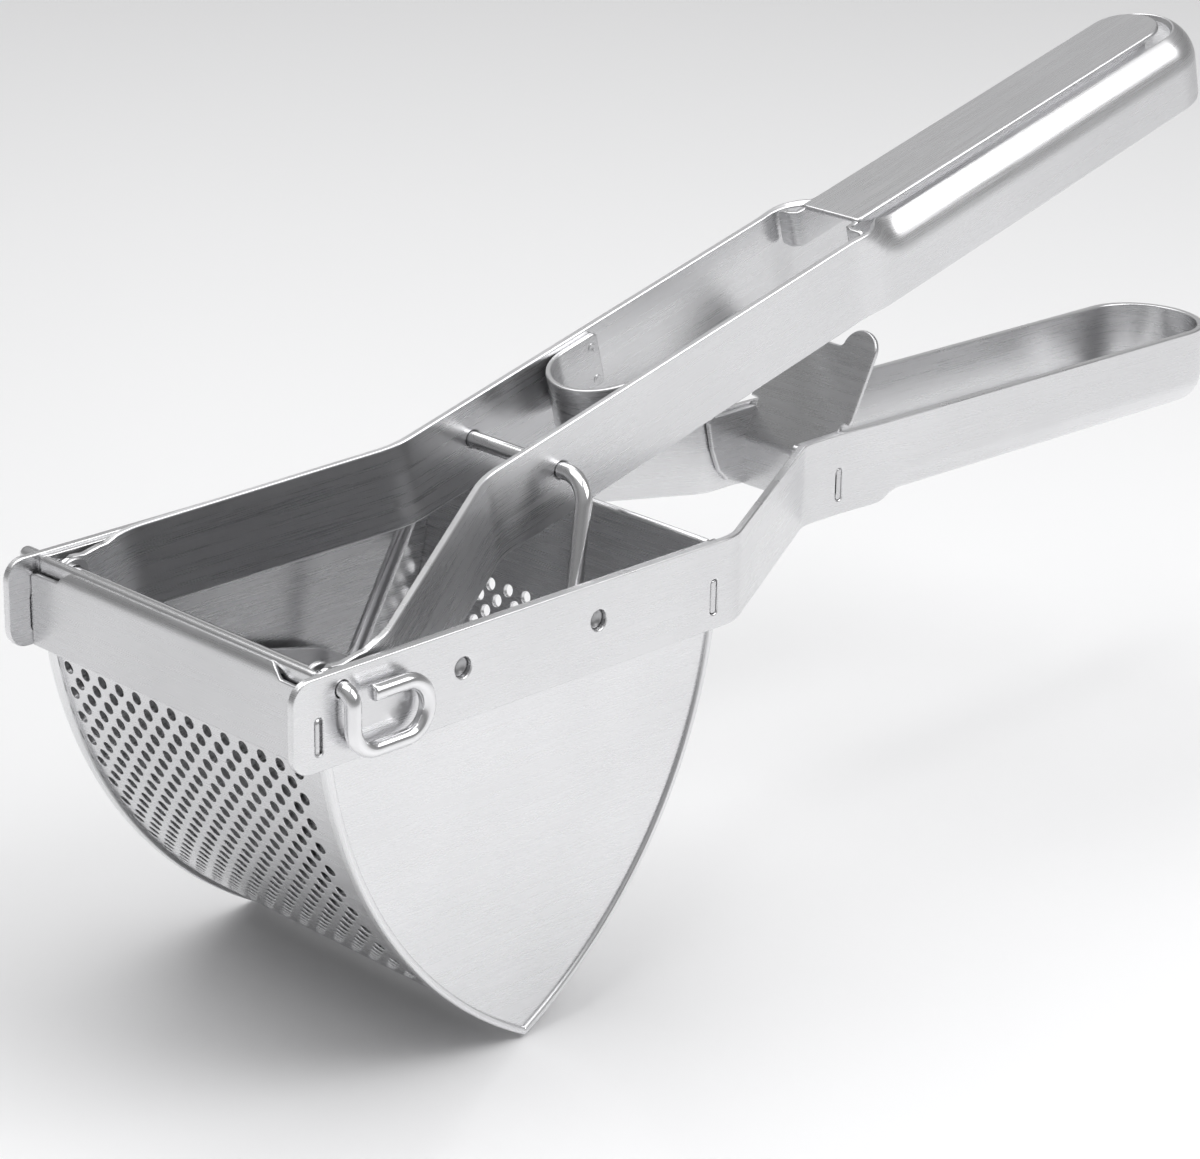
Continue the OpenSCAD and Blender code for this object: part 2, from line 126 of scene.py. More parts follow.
def fillet(points, radii, step=0.25):
    """A polyline with its corners rounded, as an array of points."""
    pts = [np.array(p, float) for p in points]
    out = [pts[0]]
    for i in range(1, len(pts) - 1):
        a, b, c = pts[i - 1], pts[i], pts[i + 1]
        d0, d1 = unit(b - a), unit(c - b)
        turn = math.acos(float(np.clip(d0 @ d1, -1, 1)))
        r = radii[i - 1]
        if turn < 1e-4 or r == 0:
            out.append(b)
            continue
        start = b - d0 * r * math.tan(turn / 2)
        side = unit(d1 - d0 * float(d0 @ d1))
        centre = start + side * r
        n = max(4, int(r * turn / step) + 1)
        for k in range(n + 1):
            a = turn * k / n
            out.append(centre + (d0 * math.sin(a) - side * math.cos(a)) * r)
    out.append(pts[-1])
    keep = [out[0]]
    for p in out[1:]:
        if np.linalg.norm(p - keep[-1]) > 1e-6:
            keep.append(p)
    return np.array(keep)


class Path:
    """A polyline read by the distance along it."""

    def __init__(self, points):
        self.p = np.array(points, float)
        self.s = np.concatenate([[0], np.cumsum(np.linalg.norm(np.diff(self.p, axis=0), axis=1))])
        self.length = float(self.s[-1])

    def at(self, s):
        s = np.asarray(s, float)
        cols = [np.interp(s, self.s, self.p[:, k]) for k in range(self.p.shape[1])]
        return np.stack(cols, -1)

    def where(self, k, value):
        """The distance at which coordinate k first reaches a value."""
        d = self.p[:, k] - value
        i = np.nonzero(d[:-1] * d[1:] <= 0)[0][0]
        f = d[i] / (d[i] - d[i + 1]) if d[i] != d[i + 1] else 0.0
        return float(self.s[i] + f * (self.s[i + 1] - self.s[i]))


def arc(cx, cy, r, a0, a1, n):
    a = np.radians(np.linspace(a0, a1, n))
    return np.stack([cx + r * np.cos(a), cy + r * np.sin(a)], 1)


def dense(points, step):
    """A closed loop with points added so that none are further apart than step."""
    pts = np.array(points, float)
    out = []
    for a, b in zip(pts, np.roll(pts, -1, 0)):
        n = max(1, int(math.ceil(np.linalg.norm(b - a) / step)))
        out += [a + (b - a) * k / n for k in range(n)]
    return np.array(out)


def signed_area(loop):
    x, y = loop[:, 0], loop[:, 1]
    return 0.5 * float(np.sum(x * np.roll(y, -1) - np.roll(x, -1) * y))


def inside(points, loop):
    x, y = points[:, 0, None], points[:, 1, None]
    x0, y0 = loop[:, 0], loop[:, 1]
    x1, y1 = np.roll(x0, -1), np.roll(y0, -1)
    rise = np.where(y1 == y0, 1e-12, y1 - y0)
    hit = ((y0 > y) != (y1 > y)) & (x < (x1 - x0) * (y - y0) / rise + x0)
    return hit.sum(1) % 2 == 1


def outward(loop):
    """Mitred and plain normals that point out of the metal, for loops with the metal on their left."""
    e0, e1 = loop - np.roll(loop, 1, 0), np.roll(loop, -1, 0) - loop
    n0 = unit(np.stack([e0[:, 1], -e0[:, 0]], 1))
    n1 = unit(np.stack([e1[:, 1], -e1[:, 0]], 1))
    m = unit(n0 + n1)
    k = 1 / np.clip((m * n0).sum(1), 0.6, 1)
    return m * k[:, None], m


def grid_inside(outline, holes, xs, ys, clear):
    """Grid points at least a given distance inside the loops."""
    g = np.stack(np.meshgrid(xs, ys), -1).reshape(-1, 2)
    g = g[inside(g, outline)]
    for loop in [outline] + list(holes):
        lo, hi = loop.min(0) - clear, loop.max(0) + clear
        near = np.nonzero(np.all((g > lo) & (g < hi), axis=1))[0]
        if len(near) == 0:
            continue
        d = np.full(len(near), 1e9)
        for part in np.array_split(loop, max(1, len(loop) // 200)):
            d = np.minimum(d, np.linalg.norm(g[near][:, None] - part[None], axis=2).min(1))
        keep = np.ones(len(g), bool)
        keep[near[d < clear]] = False
        if loop is not outline:
            keep[near[inside(g[near], loop)]] = False
        g = g[keep]
    return g


class Shape:
    """Collects surfaces with their own normals and grain coordinates, then makes one piece."""

    def __init__(self):
        self.v, self.n, self.uv, self.f, self.count = [], [], [], [], 0

    def add(self, v, n, uv, faces):
        self.v.append(np.array(v, float))
        self.n.append(unit(np.array(n, float)))
        self.uv.append(np.array(uv, float))
        self.f += [tuple(int(i) + self.count for i in face) for face in faces]
        self.count += len(v)

    def sheet(self, outline, place, t, rim=0.3, holes=(), inner=None, steps=3, reach=0.4):
        """Sheet metal: a flat outline with holes, bent by place(), with rounded edges all round."""
        outline = np.array(outline, float)
        loops = [outline if signed_area(outline) > 0 else outline[::-1]]
        for h in holes:
            h = np.array(h, float)
            loops.append(h if signed_area(h) < 0 else h[::-1])
        pts = np.concatenate(loops + ([inner] if inner is not None and len(inner) else []))
        edges, start, spans = [], 0, []
        for lp in loops:
            k = len(lp)
            edges += [(start + i, start + (i + 1) % k) for i in range(k)]
            spans.append((start, k))
            start += k
        got = geometry.delaunay_2d_cdt([Vector(p) for p in pts], edges, [], 0, 1e-7)
        base = np.array([(p.x, p.y) for p in got[0]])
        where = np.zeros(len(pts), int)
        for out_i, ins in enumerate(got[3]):
            for i in ins:
                where[i] = out_i
        tris = np.array([tuple(f) for f in got[2]])
        mid = base[tris].mean(1)
        keep = inside(mid, loops[0])
        for lp in loops[1:]:
            lo, hi = lp.min(0), lp.max(0)
            near = np.nonzero(keep & np.all((mid > lo) & (mid < hi), axis=1))[0]
            if len(near):
                keep[near[inside(mid[near], lp)]] = False
        tris = tris[keep]
        a, b, c = base[tris[:, 0]], base[tris[:, 1]], base[tris[:, 2]]
        flip = (b[:, 0] - a[:, 0]) * (c[:, 1] - a[:, 1]) - (b[:, 1] - a[:, 1]) * (c[:, 0] - a[:, 0]) < 0
        tris[flip] = tris[flip][:, ::-1]

        p = place(base)
        ts = unit(place(base + [reach, 0]) - place(base - [reach, 0]))
        tv = unit(place(base + [0, reach]) - place(base - [0, reach]))
        nn = unit(np.cross(ts, tv))
        move = np.zeros_like(p)
        rims = []
        for (s0, k), lp in zip(spans, loops):
            mitre, plain = outward(lp)
            ids = where[s0:s0 + k]
            o = ts[ids] * mitre[:, :1] + tv[ids] * mitre[:, 1:]
            on = unit(ts[ids] * plain[:, :1] + tv[ids] * plain[:, 1:])
            move[ids] = -o * rim
            rims.append((ids, o, on))
        n0 = len(base)
        self.add(p + move + nn * t / 2, nn, base, tris)
        top = self.count - n0
        self.add(p + move - nn * t / 2, -nn, base, tris[:, ::-1])
        low = self.count - n0
        for ids, o, on in rims:
            k = len(ids)
            rows = [top + ids]
            sides = [(1, j) for j in range(1, steps + 1)] + [(-1, j) for j in range(steps, 0, -1)]
            if rim >= t / 2 - 1e-6:
                sides.remove((-1, steps))
            for sign, j in sides:
                a = math.pi / 2 * j / steps
                lift = t / 2 - rim * (1 - math.cos(a))
                v = p[ids] - o * rim * (1 - math.sin(a)) + sign * nn[ids] * lift
                n = sign * nn[ids] * math.cos(a) + on * math.sin(a)
                self.add(v, n, base[ids], [])
                rows.append(np.arange(self.count - k, self.count))
            rows.append(low + ids)
            for r0, r1 in zip(rows, rows[1:]):
                for i in range(k):
                    j = (i + 1) % k
                    self.f.append((int(r0[i]), int(r1[i]), int(r1[j]), int(r0[j])))

    def sweep(self, points, us, vs, profile, pnormals, scales=None, along=None):
        """A closed profile carried along points; us and vs are the profile's axes at each point."""
        m, k = len(points), len(profile)
        scales = np.ones(m) if scales is None else scales
        if along is None:
            along = np.concatenate([[0], np.cumsum(np.linalg.norm(np.diff(points, axis=0), axis=1))])
        turn = np.linspace(0, 1, k, endpoint=False) * np.linalg.norm(
            profile - np.roll(profile, 1, 0), axis=1).sum()
        v = (points[:, None] + us[:, None] * profile[None, :, :1] * scales[:, None, None]
             + vs[:, None] * profile[None, :, 1:] * scales[:, None, None])
        n = us[:, None] * pnormals[None, :, :1] + vs[:, None] * pnormals[None, :, 1:]
        tang = unit(np.gradient(points, axis=0))
        shrink = -np.gradient(scales) / np.maximum(np.gradient(along), 1e-6)
        reach = np.abs(profile).max()
        n = n + tang[:, None] * np.clip(shrink * reach, -50, 50)[:, None, None]
        uv = np.stack(np.broadcast_arrays(along[:, None], turn[None, :]), -1)
        faces = []
        for i in range(m - 1):
            for j in range(k):
                jj = (j + 1) % k
                faces.append((i * k + j, i * k + jj, (i + 1) * k + jj, (i + 1) * k + j))
        faces.append(tuple(range(k - 1, -1, -1)))
        faces.append(tuple((m - 1) * k + j for j in range(k)))
        # orientation: us x vs has to point along the path for outward faces
        if float(np.einsum("ij,ij->i", np.cross(us, vs), tang).mean()) < 0:
            faces = [f[::-1] for f in faces]
        self.add(v.reshape(-1, 3), n.reshape(-1, 3), uv.reshape(-1, 2), faces)

    def wire(self, points, d, ends=(0.6, 0.6), sides=24):
        """Round wire along points, its two ends rounded off by the given radii."""
        path = Path(points)
        r = d / 2
        s = np.unique(np.concatenate([path.s, np.arange(0, path.length, 1.5), [path.length]]))
        s = s[(s >= ends[0]) & (s <= path.length - ends[1])]
        q = np.linspace(0, math.pi / 2, 6)
        head = ends[0] * (1 - np.sin(q[1:][::-1]))
        tail = path.length - ends[1] * (1 - np.sin(q[1:]))
        hs = (r - ends[0] * (1 - np.cos(q[1:][::-1]))) / r
        tl = (r - ends[1] * (1 - np.cos(q[1:]))) / r
        s_all = np.concatenate([head, s, tail])
        scale = np.maximum(np.concatenate([hs, np.ones(len(s)), tl]), 0.02)
        p = path.at(s_all)
        ahead = path.at(np.minimum(s_all + 0.3, path.length))
        tang = unit(ahead - path.at(np.maximum(s_all - 0.3, 0)))
        u = np.zeros_like(p)
        first = np.array([0, 0, 1.0]) if abs(tang[0][2]) < 0.9 else np.array([1.0, 0, 0])
        u[0] = unit(first - tang[0] * float(first @ tang[0]))
        for i in range(1, len(p)):
            w = u[i - 1] - tang[i] * float(u[i - 1] @ tang[i])
            u[i] = unit(w)
        v = np.cross(tang, u)
        a = np.linspace(0, 2 * math.pi, sides, endpoint=False)
        ring = np.stack([np.cos(a), np.sin(a)], 1)
        self.sweep(p, u, v, ring * r, ring, scale, s_all)

    def lathe(self, profile, centre, axis, sides=32):
        """A round solid of revolution: profile is (radius, distance along the axis) points."""
        axis = unit(np.array(axis, float))
        other = unit(np.cross(axis, [0.3, 0.1, 1.0]))
        third = np.cross(axis, other)
        prof = np.array(profile, float)
        a = np.linspace(0, 2 * math.pi, sides, endpoint=False)
        ring = np.cos(a)[:, None] * other + np.sin(a)[:, None] * third
        slope = np.gradient(prof, axis=0)
        nr, na = -slope[:, 1], slope[:, 0]
        v = np.array(centre) + prof[:, None, :1] * ring[None] + prof[:, None, 1:] * axis
        n = nr[:, None, None] * ring[None] + na[:, None, None] * axis
        k, m = sides, len(prof)
        faces = [(i * k + j, (i + 1) * k + j, (i + 1) * k + (j + 1) % k, i * k + (j + 1) % k)
                 for i in range(m - 1) for j in range(k)]
        uv = np.stack(np.broadcast_arrays(prof[:, :1], a[None] * 2), -1)
        if float((n[m // 2] * ring).sum()) < 0 and float(prof[:, 0].mean()) > 0:
            n = -n
            faces = [f[::-1] for f in faces]
        self.add(v.reshape(-1, 3), n.reshape(-1, 3), uv.reshape(-1, 2), faces)

    def turned(self, angle):
        """Turns everything so far about the pin axis, up by angle."""
        c, s = math.cos(angle), math.sin(angle)
        m = np.array([[c, 0, -s], [0, 1, 0], [s, 0, c]])
        self.v = [a @ m.T for a in self.v]
        self.n = [a @ m.T for a in self.n]
        return self

    def piece(self, name, body, nodes, slot, material):
        v = np.concatenate(self.v) * MM
        n = np.concatenate(self.n)
        uv = np.concatenate(self.uv) * MM
        me = bpy.data.meshes.new(name)
        me.from_pydata(v.tolist(), [], self.f)
        layer = me.uv_layers.new(name="grain")
        ids = np.zeros(len(me.loops), int)
        me.loops.foreach_get("vertex_index", ids)
        layer.data.foreach_set("uv", uv[ids].astype(np.float32).ravel())
        me.polygons.foreach_set("use_smooth", [True] * len(me.polygons))
        me.update()
        me.normals_split_custom_set_from_vertices(n.tolist())
        me.materials.append(material)
        o = bpy.data.objects.new(name, me)
        bpy.context.scene.collection.objects.link(o)
        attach(o, body)
        if nodes:
            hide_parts(*nodes)
        return o


def circle_loop(x, y, r, n=40):
    return arc(x, y, r, 0, 360, n + 1)[:-1]


def slot_loop(x, y, w, h, r=0.5):
    """An upright slot with rounded corners."""
    pts = []
    for cx, cy, a in ((w / 2 - r, h / 2 - r, 0), (r - w / 2, h / 2 - r, 90),
                      (r - w / 2, r - h / 2, 180), (w / 2 - r, r - h / 2, 270)):
        pts.append(arc(x + cx, y + cy, r, a, a + 90, 5))
    return np.concatenate(pts)


def rounded_rect(w, h, r, n):
    """A rectangle from the origin to (w, h) with rounded corners."""
    return np.concatenate([arc(r, r, r, 180, 270, n), arc(w - r, r, r, 270, 360, n),
                           arc(w - r, h - r, r, 0, 90, n), arc(r, h - r, r, 90, 180, n)])


def smooth(x, a, b):
    t = np.clip((x - a) / (b - a), 0, 1)
    return t * t * (3 - 2 * t)


# -- ways to carry a flat outline to 3-D ------------------------------------------
def upright(y):
    """Flat sheet across the pin's axis, at a given y."""
    return lambda q: np.stack([q[:, 0], np.full(len(q), float(y)), q[:, 1]], 1)


def across(path):
    """Sheet bent along an (x, z) path, its width along y."""
    def place(q):
        p = path.at(q[:, 1])
        return np.stack([p[:, 0], q[:, 0], p[:, 1]], 1)
    return place


def hanging(plan, top):
    """Upright strip that follows an (x, y) plan line and hangs down from top."""
    def place(q):
        p = plan.at(q[:, 0])
        return np.stack([p[:, 0], p[:, 1], top - q[:, 1]], 1)
    return place


def level(z):
    """Flat sheet lying at height z."""
    return lambda q: np.stack([q[:, 0], q[:, 1], np.full(len(q), z)], 1)


# -- materials -------------------------------------------------------------------
def node(nt, kind, **values):
    n = nt.nodes.new(kind)
    for k, v in values.items():
        setattr(n, k, v)
    return n


def remap(nt, value, lo, hi, out_lo, out_hi):
    """A value's range stretched to another range."""
    n = node(nt, "ShaderNodeMapRange")
    for socket, number in (("From Min", lo), ("From Max", hi), ("To Min", out_lo), ("To Max", out_hi)):
        n.inputs[socket].default_value = number
    nt.links.new(value, n.inputs["Value"])
    return n.outputs["Result"]


def scaled(nt, vector, x, y):
    n = node(nt, "ShaderNodeMapping")
    n.inputs["Scale"].default_value = (x, y, 1.0)
    nt.links.new(vector, n.inputs["Vector"])
    return n.outputs["Vector"]


def noise(nt, vector, scale, detail, roughness, dimensions="3D"):
    n = node(nt, "ShaderNodeTexNoise", noise_dimensions=dimensions)
    n.inputs["Scale"].default_value = scale
    n.inputs["Detail"].default_value = detail
    n.inputs["Roughness"].default_value = roughness
    nt.links.new(vector, n.inputs["Vector"])
    return n.outputs["Fac"]


def steel(name, colour, rough, streak=(55.0, 4200.0), streak_depth=0.00002, rough_amount=0.10,
          tone=0.10, aniso=0.5, smudge=0.05):
    """Stainless steel: brushed streaks along the sheet, cloudy polish marks and fine scratches."""
    mat = bpy.data.materials.new(name)
    mat.use_nodes = True
    nt = mat.node_tree
    nt.nodes.clear()
    link = nt.links.new
    out = node(nt, "ShaderNodeOutputMaterial")
    bsdf = node(nt, "ShaderNodeBsdfPrincipled")
    link(bsdf.outputs["BSDF"], out.inputs["Surface"])
    bsdf.inputs["Metallic"].default_value = 1.0
    bsdf.inputs["Anisotropic"].default_value = aniso
    bsdf.inputs["Anisotropic Rotation"].default_value = 0.25
    tangent = node(nt, "ShaderNodeTangent", direction_type="UV_MAP", uv_map="grain")
    link(tangent.outputs["Tangent"], bsdf.inputs["Tangent"])

    uv = node(nt, "ShaderNodeUVMap", uv_map="grain").outputs["UV"]
    grain = noise(nt, scaled(nt, uv, streak[0], streak[1]), 1.0, 5.0, 0.62, "2D")
    band = noise(nt, scaled(nt, uv, streak[0] * 0.35, streak[1] * 0.16), 1.0, 3.0, 0.5, "2D")
    cloud = noise(nt, node(nt, "ShaderNodeTexCoord").outputs["Object"], 28.0, 4.0, 0.55)

    both = node(nt, "ShaderNodeMath", operation="MULTIPLY_ADD")
    both.inputs[1].default_value = 0.6
    link(grain, both.inputs[0])
    part = node(nt, "ShaderNodeMath", operation="MULTIPLY")
    part.inputs[1].default_value = 0.4
    link(band, part.inputs[0])
    link(part.outputs["Value"], both.inputs[2])
    brushed = both.outputs["Value"]

    mix = node(nt, "ShaderNodeMix", data_type="RGBA")
    mix.inputs["A"].default_value = [c * (1 - tone) for c in colour] + [1]
    mix.inputs["B"].default_value = [min(1, c * (1 + tone * 0.5)) for c in colour] + [1]
    link(remap(nt, brushed, 0.3, 0.7, 0.0, 1.0), mix.inputs["Factor"])
    shade = node(nt, "ShaderNodeVectorMath", operation="SCALE")
    link(mix.outputs["Result"], shade.inputs["Vector"])
    link(remap(nt, cloud, 0.35, 0.7, 1.0, 1.0 - smudge), shade.inputs["Scale"])
    link(shade.outputs["Vector"], bsdf.inputs["Base Color"])

    streaky = remap(nt, brushed, 0.3, 0.7, rough - rough_amount / 2, rough + rough_amount / 2)
    smudged = node(nt, "ShaderNodeMath", operation="MULTIPLY_ADD")
    smudged.inputs[1].default_value = smudge
    link(cloud, smudged.inputs[0])
    link(streaky, smudged.inputs[2])
    link(smudged.outputs["Value"], bsdf.inputs["Roughness"])

    bump = node(nt, "ShaderNodeBump")
    bump.inputs["Strength"].default_value = 0.5
    bump.inputs["Distance"].default_value = streak_depth
    link(brushed, bump.inputs["Height"])
    link(bump.outputs["Normal"], bsdf.inputs["Normal"])
    return mat


M_STRAP = steel("strap_steel", (0.80, 0.80, 0.81), 0.26, tone=0.05, aniso=0.55, streak_depth=0.000012)
M_SHEET = steel("sheet_steel", (0.70, 0.70, 0.71), 0.26, streak=(90.0, 5200.0), tone=0.05, aniso=0.35,
                streak_depth=0.000012)
M_PANEL = steel("panel_steel", (0.83, 0.83, 0.84), 0.25, streak=(40.0, 3600.0), tone=0.04, aniso=0.30,
                streak_depth=0.00001)
M_SCREEN = steel("screen_steel", (0.74, 0.74, 0.75), 0.24, streak=(60.0, 3800.0), tone=0.06, aniso=0.30,
                 streak_depth=0.000012)
M_PRESS = steel("press_steel", (0.66, 0.66, 0.67), 0.28, tone=0.10, aniso=0.4)
M_WIRE = steel("wire_steel", (0.86, 0.86, 0.87), 0.13, streak=(25.0, 900.0), tone=0.05, aniso=0.1,
               streak_depth=0.000006, rough_amount=0.05)
M_RIVET = steel("rivet_steel", (0.45, 0.45, 0.46), 0.32, streak=(300.0, 300.0), tone=0.15, aniso=0.0)


# -- strips that follow a plan line -------------------------------------------------
def strip_place(plan, z_top, rolls, lip, radius, full=math.pi / 2, height=STRAP_H, rolled_top=False):
    """Carries a flat strip (distance, depth) to 3-D: upright along plan, one edge rolled inwards.

    rolls holds the distances at which the roll begins, is complete, starts to open and is flat again;
    full is the angle at which the rolled edge stops.
    """
    def place(q):
        s, v = q[:, 0], np.clip(q[:, 1], -1, height + 1)
        p = plan.at(s)
        ahead = plan.at(np.minimum(s + 0.4, plan.length)) - plan.at(np.maximum(s - 0.4, 0))
        t = unit(ahead)
        inward = np.stack([-t[:, 1], t[:, 0]], 1)
        k = smooth(s, rolls[0], rolls[1]) * (1 - smooth(s, rolls[2], rolls[3]))
        quarter = k * math.pi / 2
        a = np.minimum(quarter, full)
        edge = lip * k
        straight = height - STRAP_T / 2 * k - radius * np.sin(quarter) - edge * np.cos(quarter)
        total = straight + radius * a + edge
        if rolled_top:
            v = height - v
        d = v / height * total
        on_arc = np.clip(d - straight, 0, None)
        b = np.minimum(on_arc / radius, a)
        past = np.clip(d - straight - radius * a, 0, None)
        drop = np.minimum(d, straight) + radius * np.sin(b) + past * np.cos(a)
        inn = radius * (1 - np.cos(b)) + past * np.sin(a)
        z = z_top - drop if not rolled_top else (z_top - height) + drop
        xy = p + inward * inn[:, None]
        return np.stack([xy[:, 0], xy[:, 1], z], 1)

    return place


def drooped(place):
    """Adds the slight droop of the lower handle."""
    def moved(q):
        p = place(q)
        x = p[:, 0]
        ease = smooth(x, DROOP_X + 6, DROOP_X + 28)
        p[:, 2] -= math.tan(DROOP) * (x - DROOP_X) * ease
        return p
    return moved


# -- frame -----------------------------------------------------------------------------
YM = YO - STRAP_T / 2     # mid surface of the frame straps
plan_frame = Path(fillet(
    [(-NOSE, -YM), (NECK_X0, -YM), (NECK_X1, -GRIP_Y), (LOOP_X + GRIP_Y, -GRIP_Y),
     (LOOP_X + GRIP_Y, GRIP_Y), (NECK_X1, GRIP_Y), (NECK_X0, YM), (-NOSE, YM)],
    [NECK_R, NECK_R, GRIP_Y, GRIP_Y, NECK_R, NECK_R]))
S_END = plan_frame.length


def strap_loops():
    """Outline and holes of the flat strap: distance from its right end, depth from its top."""
    outline = dense(rounded_rect(S_END, STRAP_H, CORNER_R, 10), 1.5)
    bores = [(NOSE, TOP, PIN_BORE)] + [(NOSE + x, TOP - RIVET_Z, RIVET_BORE) for x in RIVET_XS]
    slots = [NOSE + x for x in SLOT_XS] + [plan_frame.where(0, SLOT_X3)]
    holes = []
    for end, way in ((0, 1), (S_END, -1)):
        holes += [circle_loop(end + way * s, v, rad) for s, v, rad in bores]
        holes += [slot_loop(end + way * s, TOP - SLOT_Z, 1.7, 6.7, 0.7) for s in slots]
    return outline, holes


def make_frame_strap():
    outline, holes = strap_loops()
    near, far = plan_frame.where(0, 160), plan_frame.where(0, 178)
    rolls = (near, far, S_END - far, S_END - near)
    place = drooped(strip_place(plan_frame, TOP, rolls, 0.6, radius=4.85))
    ys = np.concatenate([np.arange(1.2, 8, 1.4), np.arange(8.2, 16.2, 0.5)])
    inner = grid_inside(outline, holes, np.arange(1.5, S_END, 1.5), ys, 0.75)
    s = Shape()
    s.sheet(outline, place, STRAP_T, RIM, holes, inner)
    return s.piece("frame_strap_body", "frame", ["frame_strap"], "strap", M_STRAP)


def make_front_bar():
    """Sheet across the front, its top edge bent back, with a tab through each strap."""
    lean, bend, steps = math.radians(50), 3.0, 12
    knee = 2.55 - bend * math.sin(lean)
    prof = [(BAR_X, BOT)]
    for a in np.linspace(0, lean, steps + 1):
        prof.append((BAR_X + bend * (1 - math.cos(a)), knee + bend * math.sin(a)))
    path = Path(np.array(prof)[::-1])
    depth = path.length

    z_of = path.where(1, SLOT_Z)
    tab = 3.2               # half the tab's height
    w, w2 = YI - 0.05, YO - 0.05
    side = [(w, 3.2), (w, z_of - tab), (w2, z_of - tab), (w2, z_of + tab), (w, z_of + tab), (w, depth)]
    top = [(w - 10.5, 0.0), (w - 8.8, 1.2), (w - 7.6, 2.3), (w - 1.6, 2.4), (w - 0.4, 2.7)]
    half = top + side
    loop = [(-x, y) for x, y in half[::-1]] + half
    outline = dense(np.array(loop)[::-1], 1.2)
    inner = grid_inside(outline, [], np.arange(-37.5, 38, 1.5), np.arange(0.5, depth, 0.6), 0.5)
    s = Shape()
    s.sheet(outline, across(path), SCREEN_T, 0.3, [], inner)
    return s.piece("front_bar_body", "frame", ["front_bar"], "sheet", M_SHEET)


def make_bracket():
    """Web across the neck, upright inside the handle and leaning above it, with two side flanges."""
    lean = math.radians(27)
    wy, wide, ear = 12.15, 13.25, 4.25      # half widths below and above the step, ear radius
    bend = -3.14
    face_x = 152.6
    low = BOT + 0.2
    reach = 30                              # well past the web's top
    top = (face_x + reach * math.sin(lean), bend + reach * math.cos(lean))
    rise = Path(fillet([(face_x, low), (face_x, bend), top], [4.0]))
    knee = bend - low + 0.14                # distance up to the bend
    step, length = knee + 7.8, knee + 22.7

    half = [(wy - 0.3, 0.0), (wy - 0.3, step - 1.8), (wy - 1.0, step - 1.2), (wy - 1.0, step - 0.2),
            (wy - 0.4, step + 0.1), (wide, step + 0.1)]
    half += list(map(tuple, arc(wide - ear, length, ear, 0, 172, 20)))
    half += [(wide - 2 * ear - 0.5, length + 0.1)]
    outline = dense(np.array(half + [(-x, y) for x, y in half[::-1]]), 1.2)
    s = Shape()
    inner = grid_inside(outline, [], np.arange(-12, 12.1, 1.5), np.arange(1, 38, 1.0), 0.8)
    s.sheet(outline, across(rise), SHEET_T, RIM, [], inner)

    flange = np.concatenate([
        [(155.4, 3.0), (142.2, 3.0)], arc(142.3, 2.0, 1.0, 90, 180, 5),
        [(141.5, 1.0), (142.6, -4.0), (144.6, -8.7), (147.4, -11.5), (150.4, BOT + 0.5)],
        [(152.4, BOT + 0.4)], arc(152.9, BOT + 1.0, 0.5, 280, 360, 4), [(153.4, -3.6)]])
    for sign in (-1, 1):
        s.sheet(dense(flange, 1.2), upright(sign * (wy - SHEET_T / 2)), SHEET_T, RIM)
        tab = slot_loop(SLOT_X3, SLOT_Z, 1.4, 6.5, 0.5)
        s.sheet(tab, upright(sign * 12.9), 1.5, 0.3)
    return s.piece("neck_bracket_body", "frame", ["neck_bracket"], "sheet", M_SHEET)


def arch(r, z_high, n=70):
    """Pointed arch outline below z_high, from the front top down to the tip and up the rear."""
    tip_x = ARCH_GAP / 2
    a_tip = math.degrees(math.acos(tip_x / r))
    a_top = math.degrees(math.asin(-z_high / r))
    front = arc(ARCH_GAP, 0, r, 180 + a_top, 180 + a_tip, n)
    rear = arc(0, 0, r, 360 - a_tip, 360 - a_top, n)
    return front, rear


def make_panel(sign, name, node_name):
    front, rear = arch(ARCH_R - 0.05, 0.0)
    high = TOP - 0.4
    body = np.concatenate([front, rear[1:], [(ARCH_R - 0.1, high), (ARCH_GAP - ARCH_R + 0.1, high)]])
    holes = [circle_loop(0, 0, PIN_BORE), slot_loop(SLOT_XS[1], SLOT_Z, 1.6, 6.6, 0.4)]
    s = Shape()
    s.sheet(dense(body, 2.0), upright(sign * PANEL_Y), SHEET_T, 0.25, holes)
    # the folded rim round the arch, proud of the panel and wrapped over the screens' edges
    front, rear = arch(ARCH_R - 0.8, BOT + 0.3, 80)
    p = Path(np.concatenate([front, rear[1:]]))
    tip = p.where(0, ARCH_GAP / 2)
    at = np.unique(np.concatenate([np.linspace(0, p.length, 180), tip + np.linspace(-2, 2, 17)]))
    pts = p.at(at)
    t2 = unit(p.at(np.minimum(at + 0.5, p.length)) - p.at(np.maximum(at - 0.5, 0)))
    n2 = np.stack([t2[:, 1], -t2[:, 0]], 1)
    mid_y = sign * (PANEL_Y + 0.02)
    p3 = np.stack([pts[:, 0], np.full(len(pts), mid_y), pts[:, 1]], 1)
    us = np.stack([n2[:, 0], np.zeros(len(n2)), n2[:, 1]], 1)
    vs = np.tile([0, float(sign), 0], (len(pts), 1))
    a = np.linspace(0, 2 * math.pi, 28, endpoint=False)
    rim_w, rim_h, square = 0.78, 1.28, 0.62   # half sizes of the rim, and how square it is
    prof = np.stack([rim_w * np.sign(np.cos(a)) * np.abs(np.cos(a)) ** square,
                     rim_h * np.sign(np.sin(a)) * np.abs(np.sin(a)) ** square], 1)
    tangent = np.roll(prof, -1, 0) - np.roll(prof, 1, 0)
    pn = unit(np.stack([tangent[:, 1], -tangent[:, 0]], 1))
    s.sweep(p3, us, vs, prof, pn)
    return s.piece(name, "frame", [node_name], "panel", M_PANEL)


